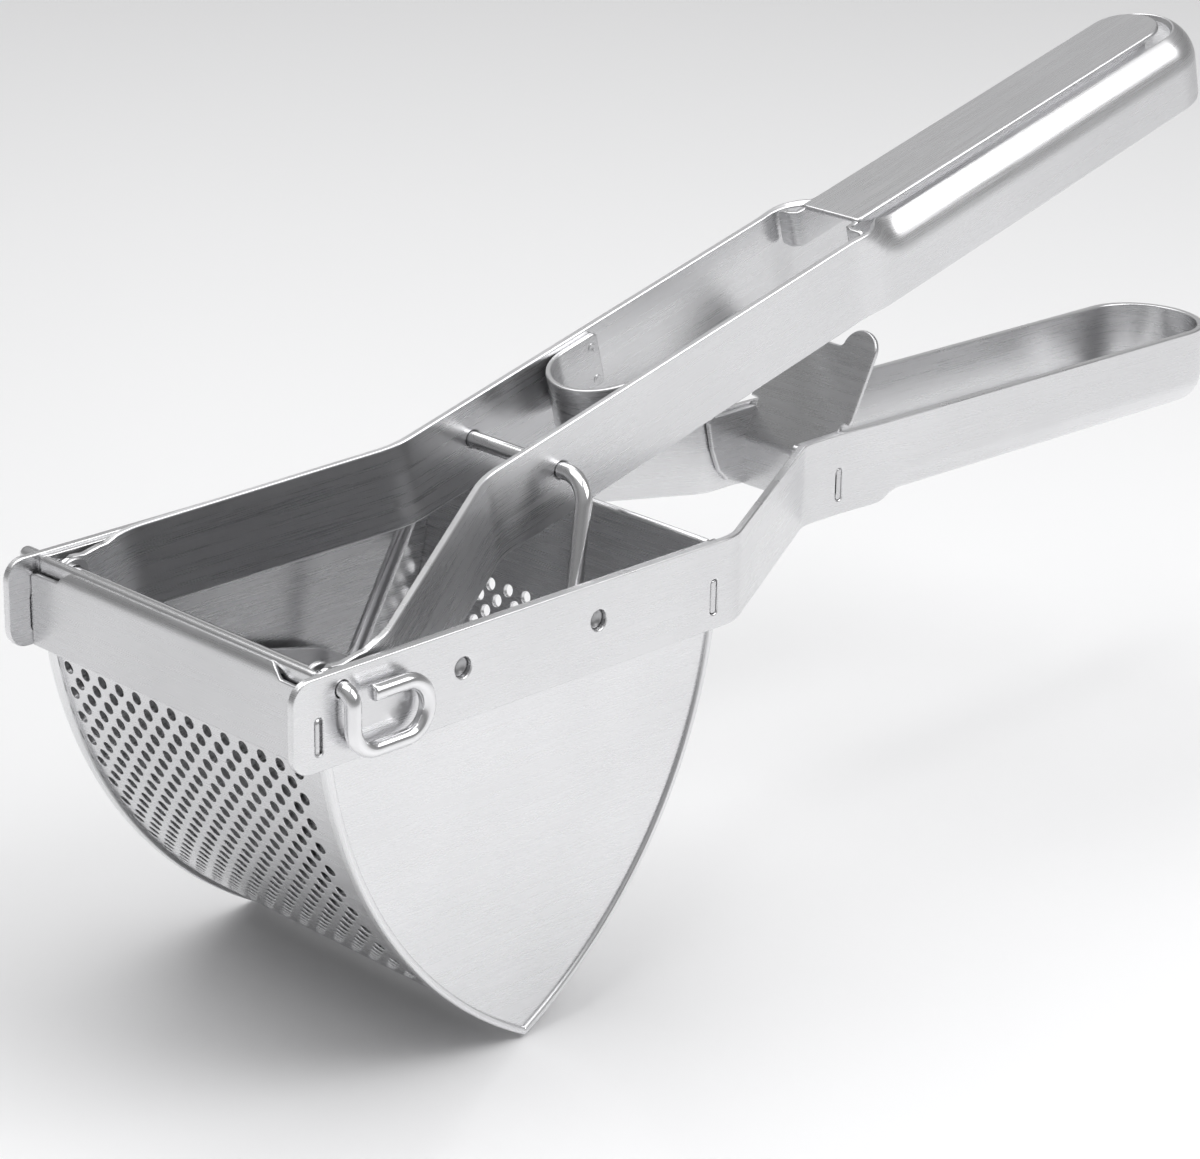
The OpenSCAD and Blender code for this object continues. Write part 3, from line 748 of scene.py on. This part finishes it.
def screen_holes(first, step, rows, odd):
    """Rows of perforations, every other row one hole shorter; odd = 1 starts with a short row."""
    loops = []
    for i in range(rows):
        n = PER_ROW - (i + odd) % 2
        for j in range(n):
            y = (j - (n - 1) / 2) * PITCH + HOLE_SHIFT
            loops.append(circle_loop(y, first + i * step, HOLE_D / 2, 16))
    return loops


def make_screen(name, node_name, profile, first, step, rows, odd, bead, tabs=()):
    """A curved screen with its bead along the top edge, and tabs on the given sides."""
    path = Path(profile)
    w = PANEL_Y - 0.65
    holes = screen_holes(first, step, rows, odd)
    outline = dense([(-w, 0), (w, 0), (w, path.length), (-w, path.length)], 2.0)
    ys, depths = np.arange(-w, w, 2.0), np.arange(1.0, path.length, 2.0)
    inner = grid_inside(outline, holes, ys, depths, 1.0)
    s = Shape()
    s.sheet(outline, across(path), SCREEN_T, 0.18, holes, inner, steps=2)
    s.wire([(bead[0], y, bead[1]) for y in np.linspace(-w, w, 40)], 1.8, (0.4, 0.4))
    for sign in tabs:
        tab = slot_loop(SLOT_XS[1], SLOT_Z, 1.4, 6.4, 0.5)
        s.sheet(tab, upright(sign * (YO - 1.35)), 2.5, 0.3)
    return s.piece(name, "frame", [node_name], "screen", M_SCREEN)


def screen_curve(r, z_high, n):
    """Rear half of the arch from z_high down to the tip, as (x, z) points from its own centre."""
    tip = math.pi - math.asin((ARCH_GAP / 2 + 0.25) / r)
    angles = np.linspace(math.acos(z_high / r), tip, n)
    return np.stack([r * np.sin(angles), r * np.cos(angles)], 1)


def row_step(r):
    """Distance between rows on the mid surface, for ROW on the inner face."""
    return ROW * r / (r - SCREEN_T / 2)


def make_front_screen():
    straight_x, curve_z, join = -4.0, -9.0, 3
    curve = screen_curve(FRONT_R, curve_z, 160) * (-1, 1) + (ARCH_GAP, 0)
    head = fillet([(straight_x, SCREEN_TOP), (straight_x, -3.0), curve[0], curve[join]], [4.0, 6.0])
    prof = np.concatenate([head[:-1], curve[join:]])
    first = Path(prof).where(1, -FRONT_R * math.sin(math.radians(11.5)))
    return make_screen("front_screen_body", "front_screen", prof, first, row_step(FRONT_R), 29, 0,
                       (-3.6, SCREEN_TOP))


def make_rear_screen():
    prof = screen_curve(REAR_R, SCREEN_TOP, 240)
    first = Path(prof).where(1, -REAR_R * math.sin(math.radians(12.9)))
    return make_screen("rear_screen_body", "rear_screen", prof, first, row_step(REAR_R), 28, 1,
                       (90.4, SCREEN_TOP), (-1, 1))


def make_rivets():
    """Recessed joints at the bottom of the round holes in the straps."""
    s = Shape()
    prof = [(1.85, 0.0), (1.8, 0.35), (1.62, 0.5), (1.4, 0.42), (1.1, 0.2), (0.7, 0.05),
            (0.3, 0.0), (0.01, 0.0)]
    for sign in (-1, 1):
        for x in RIVET_XS:
            s.lathe(prof, (x, sign * (YI + 0.05), RIVET_Z), (0, sign, 0))
    return s.piece("strap_rivets_body", "frame", ["strap_rivets"], "wire", M_RIVET)


# -- lever ----------------------------------------------------------------------------
lever_half = [(-FORK_X, FORK_Y), (14, FORK_Y), (60, ARM_Y), (L_NECK_X0, ARM_Y),
              (L_NECK_X1, L_GRIP_Y), (LEVER_LEN + L_GRIP_Y, L_GRIP_Y)]
half_bends = [14, 14, 9, 9, L_GRIP_Y]
plan_lever = Path(fillet([(x, -y) for x, y in lever_half] + lever_half[::-1],
                         half_bends + half_bends[::-1]))
L_END = plan_lever.length


def make_lever_strap():
    """The strap's blank has an eye for the pin at each end, rolled along the grip's top edge."""
    r = CORNER_R
    step_x = FORK_X + 6.6
    end = np.concatenate([
        [(16.0, STRAP_H)], arc(step_x + r, STRAP_H - r, r, 90, 180, 10),
        [(step_x, L_TOP + 8.6), (7.3, L_TOP + 8.5)],
        arc(FORK_X, L_TOP, EYE_R, 145, 275, 18),
        [(7.3, L_TOP - 1.6), (10.9, L_TOP - 1.4)],
        [(12.5, 0.35), (15.0, 0.0)]])
    other = end[::-1].copy()
    other[:, 0] = L_END - other[:, 0]
    outline = dense(np.concatenate([end, other]), 1.5)
    bail = plan_lever.where(0, BAIL_U)
    holes = [circle_loop(s, L_TOP, PIN_BORE) for s in (FORK_X, L_END - FORK_X)]
    holes += [circle_loop(s, L_TOP - BAIL_V, BAIL_BORE) for s in (bail, L_END - bail)]
    near, far = plan_lever.where(0, L_NECK_X0), plan_lever.where(0, 177)
    place = strip_place(plan_lever, L_TOP, (near, far, L_END - far, L_END - near), 0.0,
                        radius=7.75, full=math.radians(59.6), rolled_top=True)
    ys = np.concatenate([np.arange(0.8, 11.5, 0.6), np.arange(12, 16.2, 1.4)])
    inner = grid_inside(outline, holes, np.arange(1.5, L_END, 1.5), ys, 0.75)
    s = Shape()
    s.sheet(outline, place, STRAP_T, RIM, holes, inner)
    return s.turned(REST).piece("lever_strap_body", "lever", ["lever_strap"], "strap", M_STRAP)


def make_grip_plate():
    """Plate that closes the top of the grip, with a skirt and an ear on each side."""
    t, w, x0 = SHEET_T, PLATE_W, 168.2
    outline = dense([(x0, -w), *arc(PLATE_END, 0, w, -90, 90, 40), (x0, w)], 1.8)
    s = Shape()
    inner = grid_inside(outline, [], np.arange(169, 272, 2.5), np.arange(-6, 6.1, 2.0), 1.0)
    s.sheet(outline, level(PLATE_TOP - t / 2), t, 0.55, [], inner, steps=4)
    wy = w - t / 2
    ear_x, ear_y, skirt_h = 165.4, 10.9, 7.6
    for sign in (-1, 1):
        line = [(ear_x, sign * ear_y), (ear_x, sign * wy), (PLATE_END - 2, sign * wy)]
        plan = Path(fillet(line, [1.0]))
        outline = dense(rounded_rect(plan.length, skirt_h, 1.0, 5), 1.6)
        inner = grid_inside(outline, [], np.arange(1, plan.length, 1.6), np.arange(1.5, 7.5, 2.0), 0.8)
        s.sheet(outline, hanging(plan, PLATE_TOP - 0.4), t, RIM, [], inner)
    return s.turned(REST).piece("grip_plate_body", "lever", ["grip_plate"], "sheet", M_SHEET)


def make_nose_band():
    """U-shaped band between the arms: half-round nose, two short legs, a spot weld on each."""
    y, h = 10.4, 11.0
    leg_x, nose_x = 111.4, 103 - y
    plan = Path(fillet([(leg_x, y), (nose_x, y), (nose_x, -y), (leg_x, -y)], [y, y]))
    outline = dense(rounded_rect(plan.length, h, 1.2, 6), 1.0)
    s = Shape()
    inner = grid_inside(outline, [], np.arange(0.8, plan.length, 0.9), np.arange(1.5, h, 2.0), 0.7)
    s.sheet(outline, hanging(plan, 0.5), SHEET_T, 0.4, [], inner)
    weld = [(0.95, 0.0), (0.9, 0.1), (0.75, 0.16), (0.45, 0.12), (0.2, 0.08), (0.01, 0.07)]
    for sign in (-1, 1):
        for v in (-2.1, -8.9):
            s.lathe(weld, (leg_x - 2, sign * (y - SHEET_T / 2), v), (0, -sign, 0), 20)
    return s.turned(REST).piece("nose_band_body", "lever", ["nose_band"], "sheet", M_SHEET)


def bail_plane(v):
    """(x, z) of a point in the bail's plane, v up from the crossbar."""
    x0 = BAIL_U * math.cos(REST) - BAIL_V * math.sin(REST)
    z0 = BAIL_U * math.sin(REST) + BAIL_V * math.cos(REST)
    return x0 + v * math.sin(BAIL_TILT), z0 + v * math.cos(BAIL_TILT)


BAIL_LOW = -BAIL_LEG * math.cos(BAIL_SPLAY)


def make_bail():
    """Bent wire: crossbar through both arms, two legs, feet turned out into the press wings."""
    knee, toe = BAIL_HALF + BAIL_LEG * math.sin(BAIL_SPLAY), WING_Y + 1
    flat = [(-toe, BAIL_LOW), (-knee, BAIL_LOW), (-BAIL_HALF, 0), (BAIL_HALF, 0),
            (knee, BAIL_LOW), (toe, BAIL_LOW)]
    line = fillet(flat, [3.0, 6.0, 6.0, 3.0])
    x, z = bail_plane(line[:, 1])
    pts = np.stack([x, line[:, 0], z], 1)
    s = Shape()
    s.wire(pts, BAIL_D, (0.7, 0.7), 32)
    return s.piece("bail_wire_body", "lever", ["bail_wire"], "wire", M_WIRE)


# -- press ------------------------------------------------------------------------------
def press_curve(r, start, limit, n):
    """Front half of the arch at radius r, from start below the pin to limit from the pin."""
    pts = []
    for a in np.linspace(math.asin(start / r), 1.6, n):
        x, z = ARCH_GAP - r * math.cos(a), -r * math.sin(a)
        if math.hypot(x, z) > limit:
            break
        pts.append((x, z))
    return pts


def make_press_plate():
    path = Path(press_curve(PRESS_R - SHEET_T / 2, 5.0, PRESS_R - 0.3, 400))
    w = WING_Y - SHEET_T
    outline = dense([(-w, 0), (w, 0), (w, path.length), (-w, path.length)], 2.0)
    inner = grid_inside(outline, [], np.arange(-w, w, 4.0), np.arange(2, path.length, 2.0), 1.2)
    s = Shape()
    s.sheet(outline, across(path), SHEET_T, RIM, [], inner)
    return s.turned(LIFT).piece("press_plate_body", "press", ["press_plate"], "press", M_PRESS)


def bail_foot():
    """Where the bail's feet cross the wings, before the press is lifted."""
    x, z = bail_plane(BAIL_LOW)
    c, s = math.cos(-LIFT), math.sin(-LIFT)
    return x * c - z * s, x * s + z * c


def make_wing(sign, name, node_name):
    """Side of the press: wing along the plate's edge, arm up to the hinge and an eye for the pin."""
    front = press_curve(PRESS_R, EYE_R, PRESS_R, 240)
    low = math.degrees(math.atan2(front[-1][1], front[-1][0]))
    tail = arc(0, 0, PRESS_R, low, -48, 14)
    arm = fillet([(56, -31.0), (18, -21.0), (11.4, -21.0), (3, -6), (2.6, -1.7)], [6.0, 2.5, 2.0])
    loop = np.concatenate([front, tail[1:], [(62.5, -45.5), (65.2, -41.5)],
                           arc(62.5, -38.5, 3.6, -30, 75, 8),
                           arm, arc(0, 0, EYE_R, -30, 255, 30)])
    holes = [circle_loop(*bail_foot(), BAIL_BORE), circle_loop(0, 0, PIN_BORE)]
    s = Shape()
    s.sheet(dense(loop, 1.8), upright(sign * (WING_Y - SHEET_T / 2)), SHEET_T, RIM, holes)
    return s.turned(LIFT).piece(name, "press", [node_name], "press", M_PRESS)


# -- pull pin ----------------------------------------------------------------------------
def make_pin():
    """Straight wire through straps, lever and wings, bent at one end into a flat D-shaped ring."""
    y = -YO - 2.5
    low, high, side, tip = -11.3, -1.1, 16.7, 4.2      # the ring's edges
    line = [(0, YO + 8.5, 0), (0, y, 0), (0, y, low), (side, y, low), (side, y, high), (tip, y, high)]
    pts = fillet(line, [2.5, 5.0, 5.1, 5.08])
    s = Shape()
    s.wire(pts, PIN_D, (1.4, 0.5), 32)
    return s.piece("pull_pin_body", "pin", ["pull_pin"], "wire", M_WIRE)


make_frame_strap()
make_front_bar()
make_bracket()
make_panel(1, "panel_left_body", "panel_left")
make_panel(-1, "panel_right_body", "panel_right")
make_front_screen()
make_rear_screen()
make_rivets()
make_lever_strap()
make_grip_plate()
make_nose_band()
make_bail()
make_press_plate()
make_wing(1, "wing_left_body", "wing_left")
make_wing(-1, "wing_right_body", "wing_right")
make_pin()


# -- studio ---------------------------------------------------------------------------------
def floor_material():
    mat = bpy.data.materials.new("floor_white")
    mat.use_nodes = True
    nt = mat.node_tree
    bsdf = nt.nodes["Principled BSDF"]
    noise = node(nt, "ShaderNodeTexNoise")
    noise.inputs["Scale"].default_value = 3.0
    ramp = node(nt, "ShaderNodeMapRange")
    ramp.inputs["To Min"].default_value = 0.26
    ramp.inputs["To Max"].default_value = 0.32
    nt.links.new(noise.outputs["Fac"], ramp.inputs["Value"])
    nt.links.new(ramp.outputs["Result"], bsdf.inputs["Roughness"])
    bsdf.inputs["Base Color"].default_value = (0.93, 0.93, 0.935, 1)
    bsdf.inputs["Specular IOR Level"].default_value = 0.35
    return mat


def make_floor():
    me = bpy.data.meshes.new("floor")
    half, z = 4.0, cad_lo.z - 0.0003
    corners = [(-half, -half, z), (half, -half, z), (half, half, z), (-half, half, z)]
    me.from_pydata(corners, [], [(0, 1, 2, 3)])
    o = bpy.data.objects.new("floor", me)
    me.materials.append(floor_material())
    bpy.context.scene.collection.objects.link(o)


def area(name, place, aim, size, power):
    data = bpy.data.lights.new(name, "AREA")
    data.energy = power
    data.size = size
    o = bpy.data.objects.new(name, data)
    o.location = place
    o.rotation_mode = "QUATERNION"
    o.rotation_quaternion = (Vector(aim) - Vector(place)).to_track_quat("-Z", "Y")
    bpy.context.scene.collection.objects.link(o)


def make_world():
    """Soft surroundings: grey levels by height, from the horizon up to overhead."""
    world = bpy.data.worlds.new("studio")
    bpy.context.scene.world = world
    world.use_nodes = True
    nt = world.node_tree
    bg = nt.nodes["Background"]
    coords = node(nt, "ShaderNodeTexCoord")
    split = node(nt, "ShaderNodeSeparateXYZ")
    ramp = node(nt, "ShaderNodeValToRGB")
    nt.links.new(coords.outputs["Generated"], split.inputs["Vector"])
    nt.links.new(split.outputs["Z"], ramp.inputs["Fac"])
    stops = [(0.0, 0.85), (0.06, 0.60), (0.30, 0.42), (0.55, 0.58), (1.0, 0.80)]
    el = ramp.color_ramp.elements
    el[0].position, el[1].position = stops[0][0], stops[-1][0]
    for pos, _ in stops[1:-1]:
        el.new(pos)
    for e, (pos, val) in zip(el, stops):
        e.color = (val, val, val * 1.005, 1)
    nt.links.new(ramp.outputs["Color"], bg.inputs["Color"])
    bg.inputs["Strength"].default_value = 0.6


def make_camera():
    """Camera at the photograph's point of view, its place in metres."""
    data = bpy.data.cameras.new("camera")
    cam = bpy.data.objects.new("camera", data)
    bpy.context.scene.collection.objects.link(cam)
    az, el, roll = math.radians(-45.349), math.radians(20.970), math.radians(1.113)
    spot = (-0.37516, -0.46942, 0.23847)
    fwd = Vector((-math.sin(az) * math.cos(el), math.cos(az) * math.cos(el), -math.sin(el)))
    right = Vector((math.cos(az), math.sin(az), 0))
    up = right.cross(fwd)
    r2 = right * math.cos(roll) + up * math.sin(roll)
    u2 = up * math.cos(roll) - right * math.sin(roll)
    cam.matrix_world = Matrix(((r2.x, u2.x, -fwd.x, spot[0]), (r2.y, u2.y, -fwd.y, spot[1]),
                               (r2.z, u2.z, -fwd.z, spot[2]), (0, 0, 0, 1)))
    data.lens = 111.73
    data.sensor_width = 36.0
    data.clip_start, data.clip_end = 0.01, 20
    bpy.context.scene.camera = cam


make_floor()
make_world()
area("key", (0.55, -0.75, 0.95), (0.08, 0, 0), 0.9, 7.5)
area("top", (0.0, 0.25, 1.1), (0.08, 0, 0), 1.2, 9.0)
area("back", (0.95, 0.75, 0.55), (0.1, 0, 0), 0.7, 0.4)
make_camera()
bpy.context.scene.view_settings.view_transform = "Standard"
